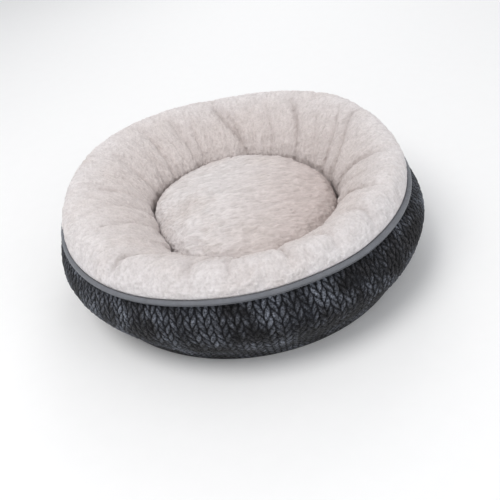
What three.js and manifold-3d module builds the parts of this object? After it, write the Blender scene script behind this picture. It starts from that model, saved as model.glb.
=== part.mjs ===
// Round pet cushion bed: a stuffed ring (the bolster) on a flat base, with a plump cushion
// lying loose in the nest that the ring leaves. Millimetres, +Z up. The origin is the
// centre of the underside, on the floor.
//
// Every sewn piece is a body of revolution about Z, so most shapes are a profile in
// (r, z) turned on a lathe. A profile runs anticlockwise, with its material on the left.

import * as THREE from "three";
import { mergeVertices } from "three/addons/utils/BufferGeometryUtils.js";
import Module from "manifold-3d";

// ---- Driving dimensions ----

// Whole bed
const BED_RADIUS = 250; // the outer wall at its fullest
const BED_HEIGHT = 146; // floor to the top of the ring
const FOOT_SET_IN = 28; // edge of the base, inside the wall's fullest line
const RIM_SET_IN = 16; // seam of wall and cover, inside the wall's fullest line
const PIPING_HEIGHT = 110; // floor to the middle of the piping

// Ring
const RING_WIDTH = 111; // from the wall's fullest line to the nest
const CREST_SET_IN = 38; // from the wall's fullest line to the ring's highest line
const NEST_HEIGHT = 80; // floor to the ring's innermost line
const INNER_SEAM_SET_BACK = 11; // the seam at the floor, under that innermost line
const CREST_FULLNESS = 0.4; // share of the inner slope's width that starts out level
const NEST_LEAN = 0.15; // the slope's last handle, as a share of its width
const NEST_LIFT = 0.4; // and of its height

// Fabrics, pile included
const PLUSH = 5;
const WALL_PLUSH = 4;
const BASE_FABRIC = 2; // non-slip fabric with its printed dots
const LINING = 1.5;
const LINING_SEAM_ALLOWANCE = 6;
const FILLING_CLEARANCE = 2.5; // filling to the lining's edge

// Piping: a filler cord in a folded strip, sewn into the rim seam
const PIPING_DIAMETER = 9;
const PIPING_STRIP = 1; // thickness of the strip
const PIPING_STANDS_OUT = 2.5; // its middle outside the rim
const PIPING_FLANGE = 4.2; // how far the strip's edges reach in from the rim

// Loose cushion
const CUSHION_CLEARANCE = 5; // cushion to the nest, all round
const CUSHION_TOP = 98; // floor to the crown of the cushion
const CUSHION_SEAM_HEIGHT = 46; // floor to the seam round its side
const CUSHION_CORNER = 22; // rounding of its lower edge
const CROWN_SHARPNESS = 3.6; // exponent of the crown: 2 is an ellipse, more is boxier

// Zip in the cushion's side seam
const ZIP_MIDDLE = 90; // degrees from +X: at the back
const ZIP_SPAN = 100; // degrees of the seam that open
const ZIP_MOUTH = 10; // height of the opening between the two panels
const TAPE_WIDTH = 12;
const TAPE = 0.8;
const TAPE_SET_BACK = 2.2; // behind the panels, which lean in above and below the seam
const COIL_WIDTH = 2; // one row of the coil, up the cushion's side
const COIL_DEPTH = 2; // and into the cushion
const COIL_SPLIT = 1.2; // between the two rows
const SLIDER_LENGTH = 12;
const SLIDER_WIDTH = 8;
const SLIDER_PLATE = 1.2;
const SLIDER_PLAY = 0.4; // plates and lips to what they slide over
const SLIDER_LIP = 0.8;
const POST_LENGTH = 5; // the post that joins the plates through the split
const BRIDGE_HEIGHT = 1.8;
const BRIDGE_LENGTH = 7;
const BRIDGE_WIDTH = 2.4;
const STOP_LENGTH = 3;

// Fits and fineness
const GAP = 0.3; // between sewn faces that touch
const SEGMENTS = 36; // facets around the bed
const ZIP_SEGMENTS = 120; // facets of a full turn of the zip, which slides with little play

// ---- Places that follow from them ----

const FOOT_RADIUS = BED_RADIUS - FOOT_SET_IN;
const RIM_RADIUS = BED_RADIUS - RIM_SET_IN;
const CREST_RADIUS = BED_RADIUS - CREST_SET_IN;
const NEST_RADIUS = BED_RADIUS - RING_WIDTH;
const INNER_SEAM_RADIUS = NEST_RADIUS + INNER_SEAM_SET_BACK;
const CUSHION_RADIUS = NEST_RADIUS - CUSHION_CLEARANCE;
const LINING_BOTTOM = BASE_FABRIC + GAP;
const FLOOR_TOP = LINING_BOTTOM + LINING + GAP; // what rests on the lining starts here
const PIPING_RADIUS = PIPING_DIAMETER / 2;
const PIPING_CENTRE = RIM_RADIUS + PIPING_STANDS_OUT;
const FLANGE_HALF = PIPING_STRIP + GAP / 2; // half of the flange, its slit included
const FLANGE_END = RIM_RADIUS - PIPING_FLANGE;
const TAPE_OUTER = CUSHION_RADIUS - PLUSH - TAPE_SET_BACK;
const TAPE_INNER = TAPE_OUTER - TAPE;
const COIL_INNER = TAPE_OUTER + GAP;
const COIL_OUTER = COIL_INNER + COIL_DEPTH;

const wasm = await Module();
wasm.setup();

const material = (color, roughness, metalness = 0) =>
  new THREE.MeshStandardMaterial({ color, roughness, metalness });
const CREAM_PLUSH = material(0xdcd5d0, 0.95);
const WALL_FABRIC = material(0x3d4147, 0.95);
const PIPING_FABRIC = material(0x85868b, 0.6);
const NON_SLIP_FABRIC = material(0x2c2e31, 0.8);
const LINING_FABRIC = material(0xb9b5b0, 0.9);
const FIBRE = material(0xf2f2f0, 1);
const COTTON = material(0xe6e4df, 0.9);
const ZIP_TAPE = material(0xcfc8c2, 0.8);
const NYLON = material(0xc8c1bb, 0.45);
const METAL = material(0x9a9a9c, 0.35, 1);

// ---- Profile tools, all in (r, z) ----

const at = (r, z) => new THREE.Vector2(r, z);

// Points of an ellipse's arc, angles in degrees.
function arc(centre, halfWidth, halfHeight, from, to, steps) {
  return Array.from({ length: steps + 1 }, (_, i) => {
    const a = THREE.MathUtils.degToRad(from + ((to - from) * i) / steps);
    return at(centre.x + halfWidth * Math.cos(a), centre.y + halfHeight * Math.sin(a));
  });
}

// The curve moved to its left by a distance, along the normal at each point.
function inset(curve, distance) {
  return curve.map((p, i) => {
    const before = curve[Math.max(i - 1, 0)];
    const after = curve[Math.min(i + 1, curve.length - 1)];
    const along = after.clone().sub(before).normalize();
    const moved = at(p.x - along.y * distance, p.y + along.x * distance);
    if (p.x === 0) moved.x = 0; // a point on the axis stays on it
    return moved;
  });
}

// ---- Solids ----

// A profile turned about Z.
function turned(profile, segments = SEGMENTS) {
  return new THREE.LatheGeometry(profile, segments).rotateX(Math.PI / 2);
}

function ring(innerRadius, outerRadius, bottom, top) {
  const profile = [
    at(innerRadius, bottom),
    at(outerRadius, bottom),
    at(outerRadius, top),
    at(innerRadius, top),
    at(innerRadius, bottom),
  ];
  return turned(profile, ZIP_SEGMENTS);
}

function solidOf(geometry) {
  const bare = geometry.index ? geometry.toNonIndexed() : geometry.clone();
  bare.deleteAttribute("normal");
  bare.deleteAttribute("uv");
  const merged = mergeVertices(bare, 1e-4);
  return new wasm.Manifold(
    new wasm.Mesh({
      numProp: 3,
      vertProperties: merged.attributes.position.array,
      triVerts: new Uint32Array(merged.index.array),
    }),
  );
}

function geometryOf(solid) {
  const mesh = solid.getMesh();
  return new THREE.BufferGeometry()
    .setAttribute("position", new THREE.BufferAttribute(mesh.vertProperties, 3))
    .setIndex(new THREE.BufferAttribute(mesh.triVerts, 1));
}

// The part of a ring between two angles, in degrees from +X.
function sector(geometry, from, to) {
  const far = BED_RADIUS * 2;
  const wedge = new THREE.Shape([at(0, 0), ...arc(at(0, 0), far, far, from, to, 8)]);
  const depth = BED_HEIGHT * 2;
  const block = new THREE.ExtrudeGeometry(wedge, { depth, bevelEnabled: false });
  block.translate(0, 0, -BED_HEIGHT / 2);
  return solidOf(geometry).intersect(solidOf(block));
}

const bed = new THREE.Group();

function add(name, geometry, material) {
  const mesh = new THREE.Mesh(geometry, material);
  mesh.name = name;
  bed.add(mesh);
  return mesh;
}

// ---- Base ----

add(
  "base_panel",
  turned([at(0, 0), at(FOOT_RADIUS, 0), at(FOOT_RADIUS, BASE_FABRIC), at(0, BASE_FABRIC)]),
  NON_SLIP_FABRIC,
);

const liningRadius = INNER_SEAM_RADIUS + LINING_SEAM_ALLOWANCE;
const liningTop = LINING_BOTTOM + LINING;
add(
  "floor_lining",
  turned([
    at(0, LINING_BOTTOM),
    at(liningRadius, LINING_BOTTOM),
    at(liningRadius, liningTop),
    at(0, liningTop),
  ]),
  LINING_FABRIC,
);

// ---- Ring: wall, cover, piping, filling ----

// The wall's outside, from the base up to the underside of the piping.
function wallCurve() {
  const steps = 6;
  const foot = BASE_FABRIC + GAP;
  const top = PIPING_HEIGHT - PIPING_RADIUS - GAP;
  const bulge = BED_RADIUS - (FOOT_RADIUS + RIM_RADIUS) / 2;
  return Array.from({ length: steps + 1 }, (_, i) => {
    const t = i / steps;
    const straight = THREE.MathUtils.lerp(FOOT_RADIUS, RIM_RADIUS, t);
    return at(straight + bulge * Math.sin(Math.PI * t), THREE.MathUtils.lerp(foot, top, t));
  });
}

// The cover's outside, from the top of the piping over the crest and down to the floor.
function coverCurve() {
  const start = PIPING_HEIGHT + PIPING_RADIUS + GAP;
  const outside = arc(
    at(CREST_RADIUS, start),
    RIM_RADIUS - CREST_RADIUS,
    BED_HEIGHT - start,
    0,
    90,
    3,
  );
  const slopeWidth = CREST_RADIUS - NEST_RADIUS;
  const slopeHeight = BED_HEIGHT - NEST_HEIGHT;
  const slope = new THREE.CubicBezierCurve(
    at(CREST_RADIUS, BED_HEIGHT),
    at(CREST_RADIUS - slopeWidth * CREST_FULLNESS, BED_HEIGHT),
    at(NEST_RADIUS + slopeWidth * NEST_LEAN, NEST_HEIGHT + slopeHeight * NEST_LIFT),
    at(NEST_RADIUS, NEST_HEIGHT),
  ).getPoints(5);
  const nestWall = arc(
    at(INNER_SEAM_RADIUS, NEST_HEIGHT),
    INNER_SEAM_RADIUS - NEST_RADIUS,
    NEST_HEIGHT - FLOOR_TOP,
    180,
    270,
    3,
  );
  return [...outside, ...slope.slice(1), ...nestWall.slice(1)];
}

// A layer of fabric behind its outside curve, turned in at the piping to lie against the
// flange. side is 1 for the cover, whose curve starts at the piping, and -1 for the wall,
// whose curve ends there.
function sewnLayer(curve, thickness, side) {
  const face = PIPING_HEIGHT + side * (FLANGE_HALF + GAP);
  const nose = at(PIPING_CENTRE - PIPING_RADIUS - GAP, face);
  const heel = at(RIM_RADIUS - thickness, face);
  const back = inset(curve, thickness).reverse();
  return side > 0
    ? [...curve, ...back, heel, nose, curve[0]]
    : [...curve, nose, heel, ...back, curve[0]];
}

const wall = wallCurve();
const cover = coverCurve();
add("outer_wall_panel", turned(sewnLayer(wall, WALL_PLUSH, -1)), WALL_FABRIC);
add("bolster_cover", turned(sewnLayer(cover, PLUSH, 1)), CREAM_PLUSH);

// The filling takes the space inside both layers, down to the base panel.
function fillingProfile() {
  const thickest = Math.max(PLUSH, WALL_PLUSH);
  const insideWall = inset(wall, thickest + GAP);
  const insideCover = inset(cover, thickest + GAP);
  const rim = Math.min(FLANGE_END, RIM_RADIUS - thickest) - GAP;
  const bottom = BASE_FABRIC + GAP;
  const toe = at(liningRadius + FILLING_CLEARANCE, bottom);
  return [
    toe,
    at(insideWall[0].x, bottom),
    ...insideWall,
    at(rim, PIPING_HEIGHT - FLANGE_HALF - GAP),
    at(rim, PIPING_HEIGHT + FLANGE_HALF + GAP),
    ...insideCover,
    toe,
  ];
}
add("bolster_fill", turned(fillingProfile()), FIBRE);

// The strip is folded round the cord, and its two edges lie together as the flange.
function pipingStripProfile() {
  const centre = at(PIPING_CENTRE, PIPING_HEIGHT);
  const inner = PIPING_RADIUS - PIPING_STRIP;
  const opening = (radius, half) => THREE.MathUtils.radToDeg(Math.asin(half / radius));
  const outerOpening = opening(PIPING_RADIUS, FLANGE_HALF);
  const innerOpening = opening(inner, GAP / 2);
  const outside = arc(
    centre,
    PIPING_RADIUS,
    PIPING_RADIUS,
    -180 + outerOpening,
    180 - outerOpening,
    8,
  );
  const inside = arc(centre, inner, inner, 180 - innerOpening, -180 + innerOpening, 6);
  const upperEdge = [
    at(FLANGE_END, PIPING_HEIGHT + FLANGE_HALF),
    at(FLANGE_END, PIPING_HEIGHT + GAP / 2),
  ];
  const lowerEdge = [
    at(FLANGE_END, PIPING_HEIGHT - GAP / 2),
    at(FLANGE_END, PIPING_HEIGHT - FLANGE_HALF),
  ];
  return [...outside, ...upperEdge, ...inside, ...lowerEdge, outside[0]];
}
add("piping_strip", turned(pipingStripProfile()), PIPING_FABRIC);

const cordRadius = PIPING_RADIUS - PIPING_STRIP - GAP;
add(
  "piping_cord",
  turned(arc(at(PIPING_CENTRE, PIPING_HEIGHT), cordRadius, cordRadius, 0, 360, 6)),
  COTTON,
);

// ---- Cushion: two panels and a filling ----

// The crown's outside, from the side seam up and in to the axis.
function crownCurve() {
  const steps = 7;
  const seam = CUSHION_SEAM_HEIGHT + GAP;
  const power = 2 / CROWN_SHARPNESS;
  return Array.from({ length: steps + 1 }, (_, i) => {
    const a = (Math.PI / 2) * (i / steps);
    const r = i === steps ? 0 : CUSHION_RADIUS * Math.cos(a) ** power;
    return at(r, seam + (CUSHION_TOP - seam) * Math.sin(a) ** power);
  });
}

// The underside's outside, from the axis out and up to the side seam.
function undersideCurve() {
  const corner = arc(
    at(CUSHION_RADIUS - CUSHION_CORNER, FLOOR_TOP + CUSHION_CORNER),
    CUSHION_CORNER,
    CUSHION_CORNER,
    -90,
    0,
    3,
  );
  return [at(0, FLOOR_TOP), ...corner, at(CUSHION_RADIUS, CUSHION_SEAM_HEIGHT - GAP)];
}

// The geometry without the room the zip takes: a sector of a ring, from a radius outwards.
const zipStart = ZIP_MIDDLE - ZIP_SPAN / 2;
const zipEnd = ZIP_MIDDLE + ZIP_SPAN / 2;
function withZipRoom(geometry, innerRadius, height) {
  const room = ring(
    innerRadius,
    CUSHION_RADIUS + PLUSH,
    CUSHION_SEAM_HEIGHT - height / 2,
    CUSHION_SEAM_HEIGHT + height / 2,
  );
  return geometryOf(solidOf(geometry).subtract(sector(room, zipStart, zipEnd)));
}

const crown = crownCurve();
const topPanel = turned([...inset(crown, PLUSH).reverse(), ...crown]);
add("cushion_top_panel", withZipRoom(topPanel, TAPE_OUTER, ZIP_MOUTH), CREAM_PLUSH);

const underside = undersideCurve();
const bottomPanel = turned([...underside, ...inset(underside, PLUSH).reverse()]);
add("cushion_bottom_panel", withZipRoom(bottomPanel, TAPE_OUTER, ZIP_MOUTH), CREAM_PLUSH);

const core = turned([...inset(underside, PLUSH + GAP), ...inset(crown, PLUSH + GAP)]);
const behindSlider = TAPE_INNER - SLIDER_PLAY - SLIDER_PLATE - SLIDER_PLAY;
const zipHeight = COIL_SPLIT + 2 * (GAP + TAPE_WIDTH + SLIDER_PLAY);
add("cushion_fill", withZipRoom(core, behindSlider, zipHeight), FIBRE);

// ---- Zip ----

// Each coil row lies on the edge of its tape. The rows end at the stops.
const degreesOf = (length) => THREE.MathUtils.radToDeg(length / COIL_OUTER);
const stopAngle = degreesOf(STOP_LENGTH);
const gapAngle = degreesOf(GAP);
const coilStart = zipStart + stopAngle + 2 * gapAngle;
const coilEnd = zipEnd - stopAngle - 2 * gapAngle;

// A piece of the zip between two angles, and between two heights above the seam.
function zipPiece(name, innerRadius, outerRadius, low, high, from, to, look) {
  const bar = ring(
    innerRadius,
    outerRadius,
    CUSHION_SEAM_HEIGHT + low,
    CUSHION_SEAM_HEIGHT + high,
  );
  add(name, geometryOf(sector(bar, from, to)), look);
}

const rowNear = COIL_SPLIT / 2;
const rowFar = rowNear + COIL_WIDTH;
const coil = [COIL_INNER, COIL_OUTER];
const rowAngles = [coilStart, coilEnd];
zipPiece("zip_coil_upper", ...coil, rowNear, rowFar, ...rowAngles, NYLON);
zipPiece("zip_coil_lower", ...coil, -rowFar, -rowNear, ...rowAngles, NYLON);

const tapeNear = rowNear + GAP;
const tapeFar = tapeNear + TAPE_WIDTH;
const tape = [TAPE_INNER, TAPE_OUTER];
const tapeAngles = [zipStart + gapAngle, zipEnd - gapAngle];
zipPiece("zip_tape_upper", ...tape, tapeNear, tapeFar, ...tapeAngles, ZIP_TAPE);
zipPiece("zip_tape_lower", ...tape, -tapeFar, -tapeNear, ...tapeAngles, ZIP_TAPE);

const startAngles = [zipStart + gapAngle, zipStart + gapAngle + stopAngle];
const endAngles = [zipEnd - gapAngle - stopAngle, zipEnd - gapAngle];
zipPiece("zip_stop_start", ...coil, -rowFar, rowFar, ...startAngles, METAL);
zipPiece("zip_stop_end", ...coil, -rowFar, rowFar, ...endAngles, METAL);

// The slider straddles both rows: an outer and an inner plate, a thin post in the split,
// a lip along the outer plate's long edges, and a low bridge instead of a pull tab. It is
// made with its length along Y and its outside towards +X, then turned into place.
function sliderGeometry() {
  const box = (x0, x1, length, width, offset = 0) =>
    solidOf(
      new THREE.BoxGeometry(x1 - x0, length, width).translate((x0 + x1) / 2, 0, offset),
    );
  const outer = COIL_OUTER + SLIDER_PLAY;
  const inner = TAPE_INNER - SLIDER_PLAY;
  const face = outer + SLIDER_PLATE;
  const lipOffset = (SLIDER_WIDTH - SLIDER_LIP) / 2;
  const lip = (side) =>
    box(TAPE_OUTER + SLIDER_PLAY, outer + GAP, SLIDER_LENGTH, SLIDER_LIP, side * lipOffset);
  const bridge = box(face - GAP, face + BRIDGE_HEIGHT, BRIDGE_LENGTH, BRIDGE_WIDTH);
  const tunnelLength = BRIDGE_LENGTH - 2 * SLIDER_LIP;
  const tunnel = box(face, face + BRIDGE_HEIGHT - SLIDER_LIP, tunnelLength, BRIDGE_WIDTH * 2);
  const slider = box(outer, face, SLIDER_LENGTH, SLIDER_WIDTH)
    .add(box(inner - SLIDER_PLATE, inner, SLIDER_LENGTH, SLIDER_WIDTH))
    .add(box(inner - GAP, outer + GAP, POST_LENGTH, COIL_SPLIT - 2 * GAP))
    .add(lip(1))
    .add(lip(-1))
    .add(bridge.subtract(tunnel));
  return geometryOf(slider);
}
const slider = add("zip_slider", sliderGeometry(), METAL);
const sliderRest = coilStart + degreesOf(SLIDER_LENGTH / 2) + gapAngle;
slider.rotation.z = THREE.MathUtils.degToRad(sliderRest);
slider.position.z = CUSHION_SEAM_HEIGHT;

export default bed;
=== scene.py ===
"""Looks of the round pet cushion bed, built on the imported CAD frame. Metres, +Z up.

The bed is round about Z, so a soft piece starts as a grid of points over an angle and a
position along a profile taken from the CAD nodes' boxes. Folds and puckers are pressed
into that form, a cloth simulation under pressure plumps it up, and the pile and the
embossing come last, on a fine grid.
"""

import math

import bpy
import numpy as np
from mathutils import Matrix, Vector


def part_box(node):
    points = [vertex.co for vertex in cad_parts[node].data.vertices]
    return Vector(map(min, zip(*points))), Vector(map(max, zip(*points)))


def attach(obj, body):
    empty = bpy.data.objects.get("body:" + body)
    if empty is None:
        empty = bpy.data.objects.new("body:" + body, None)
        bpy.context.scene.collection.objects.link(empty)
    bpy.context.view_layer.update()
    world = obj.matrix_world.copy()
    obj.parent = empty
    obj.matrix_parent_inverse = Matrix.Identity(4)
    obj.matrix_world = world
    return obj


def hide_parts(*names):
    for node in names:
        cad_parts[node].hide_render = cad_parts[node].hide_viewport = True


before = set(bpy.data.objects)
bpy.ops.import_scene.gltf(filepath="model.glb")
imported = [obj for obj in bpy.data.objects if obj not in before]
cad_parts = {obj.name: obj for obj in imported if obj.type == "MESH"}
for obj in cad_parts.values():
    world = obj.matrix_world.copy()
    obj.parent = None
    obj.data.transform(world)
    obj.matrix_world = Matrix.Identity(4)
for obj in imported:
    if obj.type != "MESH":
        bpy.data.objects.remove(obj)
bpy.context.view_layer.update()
TAU = 2 * math.pi
MM = 0.001


# ---- Camera, light and floor ----


def aim_camera(target, distance, elevation, roll, lens):
    """A camera in front of the bed (towards -Y), above it and rolled about its own line of sight."""
    data = bpy.data.cameras.new("camera")
    data.lens, data.sensor_width = lens, 36
    data.clip_start, data.clip_end = 0.05, 50
    camera = bpy.data.objects.new("camera", data)
    bpy.context.scene.collection.objects.link(camera)
    tilt, turn = math.radians(elevation), math.radians(roll)
    back = Vector((0, -math.cos(tilt), math.sin(tilt)))
    right = Vector((1, 0, 0))
    up = back.cross(right)
    right, up = (
        math.cos(turn) * right + math.sin(turn) * up,
        math.cos(turn) * up - math.sin(turn) * right,
    )
    spin = Matrix((right, up, back)).transposed().to_4x4()
    camera.matrix_world = Matrix.Translation(Vector(target) + distance * back) @ spin
    bpy.context.scene.camera = camera


def add_light(name, place, target, size, power, colour):
    data = bpy.data.lights.new(name, "AREA")
    data.shape, data.size, data.energy, data.color = "DISK", size, power, colour
    light = bpy.data.objects.new(name, data)
    bpy.context.scene.collection.objects.link(light)
    light.location = place
    aim = Vector(target) - Vector(place)
    light.rotation_mode = "QUATERNION"
    light.rotation_quaternion = aim.to_track_quat("-Z", "Y")


def light_scene():
    scene = bpy.context.scene
    scene.view_settings.view_transform = "Standard"
    world = bpy.data.worlds.new("studio")
    world.use_nodes = True
    background = world.node_tree.nodes["Background"]
    background.inputs["Color"].default_value = (0.97, 0.98, 1.0, 1)
    background.inputs["Strength"].default_value = 0.62
    scene.world = world
    add_light("key", (-0.7, -0.5, 1.7), (0, 0, 0.1), 1.1, 15, (1, 0.985, 0.97))
    add_light("fill", (1.3, -1.2, 0.9), (0, 0, 0.05), 1.2, 6, (0.97, 0.985, 1))
    add_light("back", (0.3, 1.6, 1.2), (0, 0, 0.1), 1.0, 6, (1, 1, 1))


# ---- Smooth noise, the same every run ----


def lattice(i, j, k, seed):
    """A number from -1 to 1 for each corner of the noise's lattice."""
    n = (i * 73856093) ^ (j * 19349663) ^ (k * 83492791) ^ (seed * 2654435761)
    n = (n ^ (n >> 13)) * 1274126177
    n = n ^ (n >> 16)
    return (n & 0xFFFF) / 32767.5 - 1


def noise(points, size, seed=0):
    """Smooth noise from -1 to 1 at each point, with lumps about that size; size may differ by axis."""
    p = points / np.asarray(size, float)
    cell = np.floor(p).astype(np.int64)
    f = p - cell
    f = f * f * f * (f * (f * 6 - 15) + 10)
    total = 0
    for corner in range(8):
        step = np.array([corner & 1, corner >> 1 & 1, corner >> 2 & 1])
        weight = np.where(step, f, 1 - f).prod(-1)
        at = cell + step
        total = total + weight * lattice(at[..., 0], at[..., 1], at[..., 2], seed)
    return total


def smoothstep(low, high, x):
    t = np.clip((x - low) / (high - low), 0, 1)
    return t * t * (3 - 2 * t)


# ---- Profiles in (r, z) ----


def ellipse_arc(centre, half, start, end, count=60):
    a = np.radians(np.linspace(start, end, count))
    return np.stack([centre[0] + half[0] * np.cos(a), centre[1] + half[1] * np.sin(a)], 1)


def bezier(a, b, c, d, count=80):
    t = np.linspace(0, 1, count)[:, None]
    u = 1 - t
    return u**3 * a + 3 * u * u * t * b + 3 * u * t * t * c + t**3 * d


def along(path, shares):
    """Points on a path at shares of its length."""
    path = np.asarray(path, float)
    step = np.linalg.norm(np.diff(path, axis=0), axis=1)
    keep = np.concatenate([[True], step > 1e-9])
    path = path[keep]
    length = np.concatenate([[0], np.cumsum(np.linalg.norm(np.diff(path, axis=0), axis=1))])
    at = np.asarray(shares) * length[-1]
    return np.stack([np.interp(at, length, path[:, k]) for k in range(2)], -1)


def profile_normals(points):
    """Unit normals to the right of the way the profile runs: outwards on a profile that runs clockwise."""
    t = np.gradient(points, axis=0)
    t /= np.linalg.norm(t, axis=1)[:, None]
    return np.stack([t[:, 1], -t[:, 0]], 1)


def turned_angles(count):
    return np.linspace(0, TAU, count, endpoint=False)


def outward(angles):
    """Unit vectors pointing away from Z at each bearing, (T, 3)."""
    return np.stack([np.cos(angles), np.sin(angles), 0 * angles], 1)


def revolve(rz, angles):
    """rz is (S, 2) or (T, S, 2); the result is (T, S, 3)."""
    rz = np.broadcast_to(rz, (len(angles), *rz.shape[-2:]))
    a = angles[:, None]
    return np.stack([rz[..., 0] * np.cos(a), rz[..., 0] * np.sin(a), rz[..., 1]], -1)


# ---- Sizes, from the CAD ----

low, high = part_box("bolster_cover")
RIM_R, CREST_Z, SEAM_Z = high.x, high.z, low.z
low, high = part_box("outer_wall_panel")
WALL_R, WALL_FOOT_Z = high.x, low.z
low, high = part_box("piping_strip")
PIPING_R = high.z / 2 - low.z / 2
PIPING_Z = (high.z + low.z) / 2
PIPING_PATH_R = high.x - PIPING_R
low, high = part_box("base_panel")
BASE_R, BASE_TOP = high.x, high.z
low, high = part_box("cushion_top_panel")
CUSHION_R, CUSHION_TOP, SEAM_HEIGHT = high.x, high.z, low.z
CUSHION_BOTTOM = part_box("cushion_bottom_panel")[0].z
low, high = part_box("floor_lining")
LINING_R, LINING_LOW, LINING_TOP = high.x, low.z, high.z

# Lines that no node's box gives, set out as in the CAD
CREST_SET_IN, CUSHION_GAP, SEAM_ALLOWANCE, SEAM_GAP = 38 * MM, 5 * MM, 6 * MM, 0.3 * MM
CREST_R = WALL_R - CREST_SET_IN
NEST_R = CUSHION_R + CUSHION_GAP
NEST_Z = 80 * MM
INNER_SEAM_R = LINING_R - SEAM_ALLOWANCE
COVER_START_Z = PIPING_Z + PIPING_R + SEAM_GAP
WALL_TOP_Z = PIPING_Z - PIPING_R - SEAM_GAP


def softened(path, reach):
    """A path with every point moved to the mean of itself and that many neighbours on each side."""
    before = 2 * path[:1] - path[reach:0:-1]
    after = 2 * path[-1:] - path[-2 : -reach - 2 : -1]
    longer = np.concatenate([before, path, after])
    span = 2 * reach + 1
    return sum(longer[k : k + len(path)] for k in range(span)) / span


def cover_profile(shares):
    """The cover's outside from the piping over the crest and down to the floor seam."""
    outside = ellipse_arc(
        (CREST_R, COVER_START_Z), (RIM_R - CREST_R, CREST_Z - COVER_START_Z), 0, 90
    )
    width, height = CREST_R - NEST_R, CREST_Z - NEST_Z
    slope = bezier(
        np.array([CREST_R, CREST_Z]),
        np.array([CREST_R - 0.4 * width, CREST_Z]),
        np.array([NEST_R + 0.15 * width, NEST_Z + 0.4 * height]),
        np.array([NEST_R, NEST_Z]),
    )
    nest = ellipse_arc((INNER_SEAM_R, NEST_Z), (INNER_SEAM_R - NEST_R, NEST_Z - SEAM_Z), 180, 270)
    path = along(np.vstack([outside, slope, nest]), np.linspace(0, 1, 300))
    return along(softened(path, 5), shares)


def wall_profile(shares):
    """The wall's outside from the base up to the piping, fullest a little above the middle."""
    t = np.linspace(0, 1, 200)
    straight = BASE_R + (RIM_R - BASE_R) * t
    bulge = WALL_R - (BASE_R + RIM_R) / 2
    r = straight + bulge * np.sin(math.pi * t**1.25)
    z = WALL_FOOT_Z + (WALL_TOP_Z - WALL_FOOT_Z) * t
    return along(np.stack([r, z], 1), shares)


# ---- Meshes from grids ----


def grid_faces(rows, columns, wrap_rows=False, wrap_columns=False, first=0):
    i = np.arange(rows if wrap_rows else rows - 1)
    j = np.arange(columns if wrap_columns else columns - 1)
    i, j = np.meshgrid(i, j, indexing="ij")
    i1, j1 = (i + 1) % rows, (j + 1) % columns
    quad = np.stack(
        [i * columns + j, i1 * columns + j, i1 * columns + j1, i * columns + j1], -1
    )
    return quad.reshape(-1, 4) + first


def mesh_object(name, points, quads, material, attributes=None):
    points = np.asarray(points, np.float32).reshape(-1, 3)
    quads = np.asarray(quads, np.int32)
    mesh = bpy.data.meshes.new(name)
    mesh.vertices.add(len(points))
    mesh.vertices.foreach_set("co", points.ravel())
    mesh.loops.add(quads.size)
    mesh.loops.foreach_set("vertex_index", quads.ravel())
    mesh.polygons.add(len(quads))
    mesh.polygons.foreach_set("loop_start", np.arange(0, quads.size, 4, dtype=np.int32))
    mesh.update(calc_edges=True)
    mesh.validate()
    mesh.shade_smooth()
    for key, values in (attributes or {}).items():
        data = mesh.attributes.new(key, "FLOAT", "POINT").data
        data.foreach_set("value", np.asarray(values, np.float32).ravel())
    if material:
        mesh.materials.append(material)
    piece = bpy.data.objects.new(name, mesh)
    bpy.context.scene.collection.objects.link(piece)
    return piece


def ring_normals(grid):
    """Outward unit normals of a (T, S, 3) grid that closes round Z."""
    turn = np.roll(grid, -1, 0) - np.roll(grid, 1, 0)
    run = np.gradient(grid, axis=1)
    n = np.cross(turn, run)
    n /= np.linalg.norm(n, axis=-1)[..., None] + 1e-12
    return n


def ring_shell(name, outer, inner, material, attributes=None):
    """A closed shell round Z: the outer grid, then the inner grid run backwards."""
    loop = np.concatenate([outer, inner[:, ::-1]], 1)
    rows, columns = loop.shape[:2]
    quads = grid_faces(rows, columns, wrap_rows=True, wrap_columns=True)
    filled = {}
    for key, values in (attributes or {}).items():
        back = np.broadcast_to(values[:, -1:], (rows, inner.shape[1]))
        filled[key] = np.concatenate([values, back], 1)
    return mesh_object(name, loop, quads, material, filled)


def resample(grid, rows, columns, wrap_rows):
    """A grid of values at more points, by cubic interpolation along both axes."""

    def one_axis(values, count, wrap):
        n = len(values)
        at = np.linspace(0, n if wrap else n - 1, count, endpoint=not wrap)
        i = np.floor(at).astype(int)
        if not wrap:
            i = np.minimum(i, n - 2)
        f = (at - i).reshape(-1, *([1] * (values.ndim - 1)))

        def pick(k):
            return values[(i + k) % n] if wrap else values[np.clip(i + k, 0, n - 1)]

        a, b, c, d = pick(-1), pick(0), pick(1), pick(2)
        return b + 0.5 * f * (
            c - a + f * (2 * a - 5 * b + 4 * c - d + f * (3 * (b - c) + d - a))
        )

    tall = one_axis(grid, rows, wrap_rows)
    return np.swapaxes(one_axis(np.swapaxes(tall, 0, 1), columns, False), 0, 1)


# ---- Cloth under pressure ----


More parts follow.
